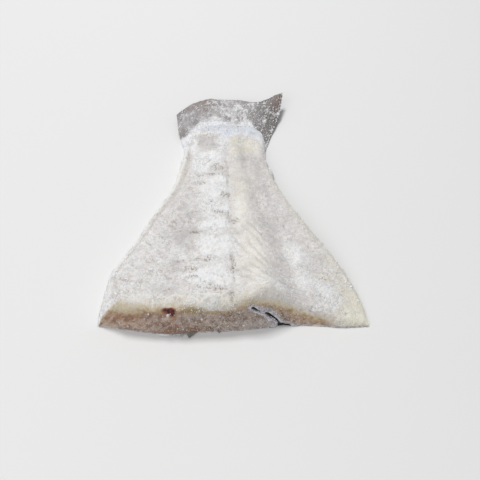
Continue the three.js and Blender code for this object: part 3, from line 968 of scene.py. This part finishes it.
class Nodes:
    """Adds nodes to a tree and links them; a value given for an input is a number, a colour or a socket."""

    def __init__(self, tree):
        self.tree = tree

    def plug(self, socket, value):
        """Links a socket or sets a value; a colour gets its fourth number here."""
        if isinstance(value, bpy.types.NodeSocket):
            self.tree.links.new(value, socket)
        else:
            socket.default_value = (*value, 1.0) if socket.type == "RGBA" else value

    def add(self, kind, inputs=None, **settings):
        node = self.tree.nodes.new(kind)
        for key, value in settings.items():
            setattr(node, key, value)
        for key, value in (inputs or {}).items():
            self.plug(node.inputs[key], value)
        return node

    def math(self, operation, a, b=0.0, clamp=False):
        return self.add("ShaderNodeMath", {0: a, 1: b}, operation=operation, use_clamp=clamp).outputs[0]

    def plus(self, a, b):
        return self.math("ADD", a, b)

    def minus(self, a, b, clamp=False):
        return self.math("SUBTRACT", a, b, clamp)

    def times(self, a, b, clamp=False):
        return self.math("MULTIPLY", a, b, clamp)

    def ramp(self, value, low, high, to_low=0.0, to_high=1.0):
        """From to_low below low to to_high above high, smooth between."""
        inputs = {"Value": value, "From Min": low, "From Max": high, "To Min": to_low, "To Max": to_high}
        return self.add("ShaderNodeMapRange", inputs, interpolation_type="SMOOTHSTEP").outputs[0]

    def part(self, value, low, high, most):
        """From 0 at low to most at high."""
        return self.ramp(value, low, high, 0.0, most)

    def lines(self, value, wide, narrow):
        """Thin lines where the value crosses 1/2: 0 further than wide from it, 1 nearer than narrow."""
        return self.ramp(self.math("ABSOLUTE", self.minus(value, 0.5)), wide, narrow)

    def blend(self, share, a, b):
        node = self.add("ShaderNodeMix", data_type="RGBA")
        for place, value in ((0, share), (6, a), (7, b)):
            self.plug(node.inputs[place], value)
        return node.outputs[2]

    def shades(self, value, low, high, dark, light):
        """A colour that goes with the value from dark to light."""
        return self.blend(self.ramp(value, low, high), dark, light)

    def layers(self, base, *coats):
        """Colours laid over a base one after another: each coat is its share and its colour."""
        for share, tone in coats:
            base = self.blend(share, base, tone)
        return base

    def noise(self, vector, scale, detail, rough):
        inputs = {"Vector": vector, "Scale": scale, "Detail": detail, "Roughness": rough}
        return self.add("ShaderNodeTexNoise", inputs).outputs[0]

    def colours(self, value, stops):
        """A colour ramp through (place, colour) stops."""
        node = self.add("ShaderNodeValToRGB", {0: value})
        elements = node.color_ramp.elements
        for place, tone in stops[1:-1]:
            elements.new(place).color = (*tone, 1.0)
        for end in (0, -1):
            elements[end].position, elements[end].color = stops[end][0], (*stops[end][1], 1.0)
        return node.outputs[0]

    def mask(self, name, strength=None):
        """The number of that name that the mesh has at each vertex, times a strength."""
        value = self.add("ShaderNodeAttribute", attribute_name=name).outputs["Fac"]
        return value if strength is None else self.times(value, strength)

    def object_place(self):
        return self.add("ShaderNodeTexCoord").outputs["Object"]


def salt_frost_group():
    """Fine salt: where its grains lie, by an amount from 0 to 1, and their height."""
    tree = bpy.data.node_groups.new("salt_frost", "ShaderNodeTree")
    for way, label, kind in (("INPUT", "Vector", "Vector"), ("INPUT", "Amount", "Float"),
                             ("INPUT", "Crispness", "Float"), ("OUTPUT", "Mask", "Float"),
                             ("OUTPUT", "Height", "Float")):
        tree.interface.new_socket(label, in_out=way, socket_type=f"NodeSocket{kind}")
    nodes = Nodes(tree)
    given, out = nodes.add("NodeGroupInput").outputs, nodes.add("NodeGroupOutput").inputs
    where = given["Vector"]
    level = nodes.plus(nodes.times(nodes.noise(where, 150, 4, 0.6), 0.5),
                       nodes.times(nodes.noise(where, 800, 2, 0.6), 0.5))
    level = nodes.plus(level, given["Amount"])
    width = nodes.minus(0.34, nodes.times(given["Crispness"], 0.26))
    mask = nodes.ramp(level, nodes.minus(1.0, width), nodes.plus(1.0, width))
    cells = nodes.add("ShaderNodeTexVoronoi", {"Vector": where, "Scale": 1100}).outputs["Distance"]
    nodes.plug(out["Mask"], mask)
    nodes.plug(out["Height"], nodes.times(nodes.minus(1.0, cells), mask))
    return tree


def new_material(name):
    """A material with only its surface, its nodes' maker and that surface's inputs."""
    material = bpy.data.materials.new(name)
    material.use_nodes = True
    tree = material.node_tree
    tree.nodes.clear()
    nodes = Nodes(tree)
    surface = nodes.add("ShaderNodeBsdfPrincipled")
    tree.links.new(surface.outputs[0], nodes.add("ShaderNodeOutputMaterial").inputs[0])
    return material, nodes, surface.inputs


def frosted(nodes, where, salt_frost, crispness):
    """The salt group's outputs, with the amount from the piece's own mask."""
    inputs = {"Vector": where, "Amount": nodes.mask("salt"), "Crispness": crispness}
    return nodes.add("ShaderNodeGroup", inputs, node_tree=salt_frost).outputs


def let_light_in(surface, weight, reach):
    """Light goes that far into the surface, in metres for red, green and blue."""
    surface["Subsurface Weight"].default_value = weight
    surface["Subsurface Radius"].default_value = reach
    surface["Subsurface Scale"].default_value = 1.0


def rough_up(nodes, surface, height, strength, distance):
    """Fine relief by shading, of that height in metres."""
    bump = nodes.add("ShaderNodeBump", {"Strength": strength, "Distance": distance, "Height": height})
    nodes.plug(surface["Normal"], bump.outputs[0])


SALT_WHITE = (0.95, 0.95, 0.95)
FROZEN_WHITE = (0.77, 0.80, 0.865)
# The sawn face's tones, at shares across from its left.
FACE_TONES = [
    (0.00, (0.54, 0.37, 0.24)), (0.10, (0.48, 0.295, 0.18)), (0.20, (0.36, 0.235, 0.19)),
    (0.31, (0.35, 0.23, 0.17)), (0.42, (0.34, 0.25, 0.185)), (0.56, (0.305, 0.23, 0.18)),
    (0.66, (0.42, 0.26, 0.17)), (0.76, (0.42, 0.22, 0.11)), (0.88, (0.58, 0.38, 0.20)),
    (1.00, (0.90, 0.85, 0.70)),
]
STREAK_SLANT = math.radians(48)
STREAK_STRETCH = 6.0


def flesh_material(salt_frost):
    """Dried flesh: ivory, grey where glassy, yellow at its edges, tan and brown on the sawn face, salted;
    painted shadow in its pits, cracks and lip's groove and along the sawn end.
    """
    material, nodes, surface = new_material("dried_flesh")
    mask, ramp, part, shades = nodes.mask, nodes.ramp, nodes.part, nodes.shades
    plus, minus, times, noise = nodes.plus, nodes.minus, nodes.times, nodes.noise
    where = nodes.object_place()
    mottle, small, grain = noise(where, 60, 5, 0.6), noise(where, 330, 4, 0.6), noise(where, 800, 3, 0.6)
    flakes, broad, blotch = noise(where, 240, 3, 0.55), noise(where, 110, 4, 0.6), noise(where, 210, 2, 0.5)
    spread = plus(times(mottle, 0.65), times(small, 0.35))
    frost = frosted(nodes, where, salt_frost, 0.5)
    salt = nodes.layers(
        SALT_WHITE,
        (mask("cream", 0.8), (0.88, 0.85, 0.79)),
        (part(grain, 0.46, 0.36, 0.25), (0.62, 0.61, 0.59)),
    )
    # Pits and cracks are dark brown: partly their own colour, partly painted shadow in them.
    pits = times(ramp(plus(grain, mask("rough", 0.11)), 0.62, 0.67), ramp(small, 0.44, 0.54))
    cracks = times(nodes.lines(flakes, 0.026, 0.008), ramp(grain, 0.44, 0.52))
    shaded_pits_and_cracks = times(nodes.math("MAXIMUM", pits, cracks), part(mask("rough"), 0.10, 0.5, 0.9))
    strewn = times(cracks, times(part(mottle, 0.46, 0.58, 0.6), minus(1.0, mask("ivory"), True)))
    shaded_pits_and_cracks = nodes.math("MAXIMUM", shaded_pits_and_cracks, strewn)
    top = nodes.layers(
        shades(spread, 0.38, 0.62, (0.62, 0.59, 0.58), (0.86, 0.83, 0.82)),
        (mask("ivory", 0.85), shades(spread, 0.40, 0.60, (0.77, 0.74, 0.68), (0.87, 0.845, 0.79))),
        (mask("grey", 0.85), shades(spread, 0.40, 0.60, (0.46, 0.445, 0.445), (0.64, 0.62, 0.62))),
        (mask("yellow", 0.9), shades(spread, 0.40, 0.60, (0.79, 0.76, 0.63), (0.90, 0.88, 0.77))),
        (part(grain, 0.50, 0.36, 0.45), (0.54, 0.51, 0.48)),
        (times(frost["Mask"], minus(1.0, mask("yellow", 0.7))), salt),
        (mask("frozen"), FROZEN_WHITE),
        (mask("bare", ramp(small, 0.38, 0.6, 1.0, 0.7)), (0.57, 0.49, 0.37)),
        (mask("fibre", 0.6), (0.56, 0.53, 0.45)),
        # The lip's ridge is salt white, and its groove, where the mask is below 0, gets painted shadow.
        (mask("lip", 0.9), (0.95, 0.93, 0.88)),
        (times(mask("lip"), -1.0, True), (0.60, 0.56, 0.51)),
        (mask("ochre", ramp(small, 0.42, 0.62, 0.15, 0.7)), (0.66, 0.63, 0.42)),
        (shaded_pits_and_cracks, (0.38, 0.29, 0.20)),
    )

    across = mask("across")
    light = shades(across, 0.10, 0.24, (0.60, 0.45, 0.34), (0.56, 0.455, 0.395))
    deep = shades(across, 0.28, 0.40, (0.24, 0.13, 0.085), (0.21, 0.145, 0.105))
    veins = times(nodes.lines(broad, 0.016, 0.004), ramp(small, 0.42, 0.54))
    veins = times(veins, part(across, 0.16, 0.24, 0.6))
    turned = {"Vector": where, "Rotation": (0.0, -STREAK_SLANT, 0.0), "Scale": (STREAK_STRETCH, 1.0, 1.0)}
    streak = noise(nodes.add("ShaderNodeMapping", turned, vector_type="TEXTURE").outputs[0], 420, 3, 0.5)
    dusty = times(ramp(across, 0.24, 0.36), ramp(across, 0.66, 0.74, 1.0, 0.45))
    ragged = plus(mask("band"), times(minus(small, 0.5), 1.1))
    face = nodes.layers(
        nodes.colours(across, FACE_TONES),
        (part(mottle, 0.52, 0.60, 0.45), light), (part(mottle, 0.48, 0.40, 0.6), deep),
        (part(broad, 0.50, 0.60, 0.8), light), (part(broad, 0.50, 0.39, 0.9), deep),
        (part(blotch, 0.52, 0.66, 0.6), light), (part(blotch, 0.48, 0.34, 0.6), deep),
        (veins, (0.70, 0.61, 0.57)),
        (mask("orange", 0.75), (0.34, 0.155, 0.075)),
        (part(streak, 0.54, 0.68, 0.55), (0.66, 0.57, 0.54)),
        (part(streak, 0.46, 0.34, 0.25), (0.24, 0.14, 0.10)),
        (times(dusty, part(small, 0.50, 0.64, 0.5)), (0.62, 0.54, 0.51)),
        (times(dusty, part(small, 0.48, 0.36, 0.45)), (0.19, 0.135, 0.10)),
        (mask("dark", ramp(small, 0.40, 0.60, 0.85, 0.55)), (0.19, 0.135, 0.095)),
        (mask("pale", ramp(small, 0.40, 0.60, 0.50, 0.90)), (0.70, 0.66, 0.67)),
        (ramp(ragged, 0.0, 0.6), shades(ragged, 0.30, 1.0, (0.45, 0.31, 0.175), (0.68, 0.60, 0.45))),
        (mask("rim"), shades(flakes, 0.40, 0.56, (0.40, 0.37, 0.40), (0.64, 0.62, 0.66))),
    )
    red = shades(small, 0.42, 0.60, (0.030, 0.002, 0.003), (0.20, 0.015, 0.010))
    nodes.plug(surface["Base Color"], nodes.layers(
        top,
        (mask("face"), face),
        (mask("olive", ramp(small, 0.36, 0.56, 0.7, 1.0)), (0.31, 0.235, 0.08)),
        (part(mask("blood"), 0.01, 0.3, 0.75), (0.30, 0.12, 0.05)),
        (ramp(mask("blood"), 0.22, 0.60), red),
    ))
    nodes.plug(surface["Roughness"], minus(0.78, mask("face", 0.38)))
    height = plus(plus(times(small, 1.2), times(frost["Height"], 0.8)), times(grain, 0.7))
    rough_up(nodes, surface, minus(height, shaded_pits_and_cracks), 0.9, 0.0008)
    let_light_in(surface, 0.15, (0.003, 0.0022, 0.0016))
    return material


def skin_material(salt_frost):
    """Skin and fin: mottled grey-brown, browner at the fin's edges, pale or bare at the sawn rim, salted, and
    painted black shadow in the crease.
    """
    material, nodes, surface = new_material("salted_skin")
    mask, times, shades = nodes.mask, nodes.times, nodes.shades
    where = nodes.object_place()
    mottle, small = nodes.noise(where, 70, 5, 0.6), nodes.noise(where, 420, 4, 0.6)
    frost = frosted(nodes, where, salt_frost, 0.55)
    membrane = nodes.layers(
        shades(mottle, 0.38, 0.62, (0.23, 0.21, 0.215), (0.38, 0.36, 0.365)),
        (mask("ray", 0.12), (0.17, 0.15, 0.15)),
        (mask("dark", 0.85), (0.125, 0.112, 0.112)),
        (mask("brown", 0.6), (0.22, 0.16, 0.135)),
    )
    rim = nodes.layers(
        shades(small, 0.42, 0.6, (0.40, 0.37, 0.37), (0.70, 0.67, 0.66)),
        (mask("bared", nodes.ramp(small, 0.42, 0.58, 0.95, 0.1)), (0.09, 0.075, 0.08)),
        (mask("crease"), shades(small, 0.40, 0.58, (0.34, 0.32, 0.335), (0.66, 0.64, 0.68))),
    )
    nodes.plug(surface["Base Color"], nodes.layers(
        shades(mottle, 0.4, 0.62, (0.22, 0.205, 0.185), (0.40, 0.385, 0.36)),
        (mask("fin"), membrane),
        (frost["Mask"], nodes.blend(mask("frozen"), (0.80, 0.80, 0.81), FROZEN_WHITE)),
        (mask("edge", 0.9), rim),
        # Painted shadow: the skin's underside deep in the crease is black.
        (mask("beneath", mask("deep")), (0.015, 0.013, 0.013)),
        # Painted shadow: the scrap in the crease's mouth is black.
        (mask("painted_shadow"), (0.016, 0.013, 0.014)),
    ))
    surface["Roughness"].default_value = 0.55
    rough_up(nodes, surface, nodes.plus(times(small, 0.5), frost["Height"]), 0.5, 0.0005)
    return material


def grain_material(name, dull, bright):
    """Salt crystals: white, or with the flesh's colour in them, a little glassy, cloudy in places."""
    material, nodes, surface = new_material(name)
    cloudy = nodes.noise(nodes.object_place(), 180, 2, 0.5)
    nodes.plug(surface["Base Color"], nodes.shades(cloudy, 0.35, 0.65, dull, bright))
    surface["Roughness"].default_value = 0.4
    let_light_in(surface, 0.3, (0.001, 0.001, 0.001))
    return material


# ---------------------------------------------------------------- camera, light and floor

CAMERA_PLACE = (5.0, -339.1, 474.25)  # in the fish's frame, millimetres
CAMERA_ELEVATION = 47.0
LENS = 50.0
SENSOR = 36.0
FLOOR_REACH = 6
FLOOR_GREY = 0.80
SKY = 0.34
# Square lamps turned to the middle: name, place and side in metres, and watts.
LAMPS = [("overhead", (-0.35, 1.1, 2.3), 0.6, 38), ("front_fill", (-0.6, -1.2, 1.0), 1.0, 8)]


def make_camera():
    """Looks along the fish from in front of its sawn end, down at its elevation."""
    data = bpy.data.cameras.new("camera")
    data.lens, data.sensor_width = LENS, SENSOR
    camera = add_object("camera", data)
    camera.location = tuple((np.array(CAMERA_PLACE) + SHIFT) * MM)
    camera.rotation_euler = (math.radians(90 - CAMERA_ELEVATION), 0, 0)
    bpy.context.scene.camera = camera


def make_studio():
    """A plain pale floor, even light from all round and large soft lamps behind and in front."""
    mesh = bpy.data.meshes.new("floor")
    corners = [(-1, -1, 0), (1, -1, 0), (1, 1, 0), (-1, 1, 0)]
    mesh.from_pydata([(a * FLOOR_REACH, b * FLOOR_REACH, c) for a, b, c in corners], [], [(0, 1, 2, 3)])
    floor = add_object("floor", mesh)
    material, nodes, surface = new_material("pale_floor")
    nodes.plug(surface["Base Color"], (FLOOR_GREY,) * 3)
    surface["Roughness"].default_value = 0.9
    mesh.materials.append(material)
    world = bpy.data.worlds.new("studio")
    world.use_nodes = True
    background = world.node_tree.nodes["Background"]
    background.inputs[0].default_value = (1.0, 1.0, 1.0, 1.0)
    background.inputs[1].default_value = SKY
    bpy.context.scene.world = world
    for name, place, side, power in LAMPS:
        data = bpy.data.lights.new(name, "AREA")
        data.size, data.energy = side, power
        lamp = add_object(name, data)
        lamp.location = place
        lamp.rotation_euler = (-Vector(place)).to_track_quat("-Z", "Y").to_euler()
    bpy.context.scene.view_settings.view_transform = "Standard"


# ---------------------------------------------------------------- the whole

# Lumps of salt at the flesh's edges: (x, y, half width, half length).
EDGE_LUMPS = [
    (-109, 42, 4, 5), (-94, 69, 3, 4), (93, 52, 4, 6), (98, 37, 3, 4), (-60, 138, 3, 4), (62, 120, 3, 5),
    (-46, 196, 3, 5), (47, 190, 3, 5),
]
# Single larger grains on the sawn face, and lumps that bridge the slit of the crease: (x, z, size).
FACE_GRAINS = [
    (-91, 5, 1.8), (-65, 16, 2.0), (-38, 16, 1.6), (-27.5, 14, 2.4), (8.5, 6, 2.6), (-72.5, 22, 2.0),
    (-56.4, 23.2, 2.8), (23, 6, 2.2), (2, 9, 1.6), (-46, 13, 1.6), (-44, 6, 1.8), (-12, 15, 1.6),
]
SLIT_LUMPS = [
    (23.2, 17.2, 2.2), (24.4, 16.5, 2.6), (25.6, 15.9, 2.2), (31.8, 10.4, 1.5), (33.2, 8.9, 1.7),
    (34.8, 7.6, 1.7), (36.2, 6.0, 1.5), (37.3, 4.6, 1.4), (20.6, 18.0, 1.2),
]


# Strewn salt: how many grains, their least size, how much larger they get, and the power that makes large
# ones rare.
STREWN = {
    "salt_on_flesh": (7000, 0.3, 0.5, 1),
    "salt_at_edges": (3600, 0.5, 2.4, 3),
    "salt_at_cut": (500, 0.4, 0.9, 2),
    "salt_on_cut": (1600, 0.35, 0.7, 2),
    "salt_at_crease": (90, 0.7, 1.3, 2),
    "salt_on_fin": (5200, 0.4, 1.2, 2.4),
}
SALT_SEED = 7


def strew(name, grid, weight, rng):
    """Places, outward directions and sizes of that kind's grains, more of them where the weight is.

    A size is the least one + more (a random share)^power.
    """
    count, least, more, power = STREWN[name]
    spots, out = spots_on(grid, weight, count, rng)
    return spots, out, least + more * rng.random(count) ** power


def make_salt(flesh_parts, fin_parts):
    """All loose salt: on the flesh, in lumps at its edges, on the sawn face and on the fin."""
    rng = np.random.default_rng(SALT_SEED)
    look = grain_material("salt_crystals", (0.82, 0.82, 0.82), (0.92, 0.92, 0.92))
    damp = grain_material("damp_salt", (0.60, 0.53, 0.49), (0.82, 0.77, 0.75))
    rimmed = grain_material("rim_salt", (0.48, 0.46, 0.49), (0.76, 0.74, 0.78))
    x, y, share, places, masks = flesh_parts
    face_x, face_z = places[..., 0], places[..., 2]
    clumped = ease(-0.1, 0.5, cloud(x, y, 8, 181, 3))
    on_top = (0.05 + masks["salt"] ** 2 * clumped) * ease(1, 4, y) * (1 - 0.7 * masks["ivory"])
    make_grains("salt_on_flesh", *strew("salt_on_flesh", places, on_top, rng), look, rng)

    across = np.abs(2 * (x - x[:, :1]) / (x[:, -1:] - x[:, :1]) - 1)
    edge = ease(0.92, 0.97, across) * (1 - 0.8 * ease(0.992, 1, across)) * (1 + 1.5 * (x > 0))
    lumps = ease(8, 24, y) * fall(240, 255, y) * edge * (0.15 + clumped + 25 * patches(x, y, EDGE_LUMPS, 3))
    spots, out, sizes = strew("salt_at_edges", places, lumps, rng)
    make_grains("salt_at_edges", spots - out * sizes[:, None] * 0.2, out, sizes, look, rng, True)

    brow = (share > 0.9) * (y < 7) * bell(x, -14, 20) * (0.1 + clumped)
    make_grains("salt_at_cut", *strew("salt_at_cut", places, brow, rng), look, rng, True)

    on_face = (share < 0.98) * (y < 1)
    dusty = 0.15 + bell(face_x, -5, 45) + 0.6 * ease(-0.1, 0.4, cloud(face_x, face_z, 9, 191, 2))
    dusty = on_face * dusty * (0.5 + bell(share, 0.15, 0.3))
    make_grains("salt_on_cut", *strew("salt_on_cut", places, dusty, rng), damp, rng, True)

    off_face = 1e3 * (1 - on_face)
    nearest = [np.argmin(np.hypot(face_x - gx, face_z - gz) + off_face) for gx, gz, _ in FACE_GRAINS]
    ahead = np.tile([0.0, -1.0, 0.2], (len(nearest), 1))
    sizes = np.array([size for _, _, size in FACE_GRAINS])
    make_grains("salt_beads", places.reshape(-1, 3)[nearest], ahead, sizes, damp, rng, True)

    beside = masks["rim"] * (share < 0.99) * (y < 1)
    beside = beside * (0.2 + ease(-0.1, 0.3, cloud(face_x, face_z, 3, 193, 2)))
    spots, out, sizes = strew("salt_at_crease", places, beside, rng)
    lump_x, lump_z, lump_size = np.array(SLIT_LUMPS).T
    lump_y = cut_line(lump_x, 0 * lump_x) + cut_lean(lump_x, 0 * lump_x) * lump_z
    spots = np.concatenate([spots, np.stack([lump_x, lump_y, lump_z], axis=-1)])
    out = np.concatenate([out, np.tile([0.0, -1.0, 0.0], (len(lump_x), 1))])
    make_grains("salt_at_crease", spots, out, np.concatenate([sizes, lump_size]), rimmed, rng, True)

    x, y, places, salted = fin_parts
    rim = fall(0, 2.5, np.minimum(x - x[:, :1], x[:, -1:] - x))
    dusted = (salted**1.6 + 0.25 * ease(10, 24, x) + 2 * rim * ease(0, 10, x)) * ease(NECK - 14, NECK, y)
    make_grains("salt_on_fin", *strew("salt_on_fin", places, dusted, rng), look, rng, True)


make_camera()
make_studio()
salt_frost = salt_frost_group()
flesh_parts = make_flesh(flesh_material(salt_frost))
skin_look = skin_material(salt_frost)
fin_parts = make_skin(skin_look)
for scrap in SCRAPS:
    make_scrap(*scrap, skin_look)
make_salt(flesh_parts, fin_parts)
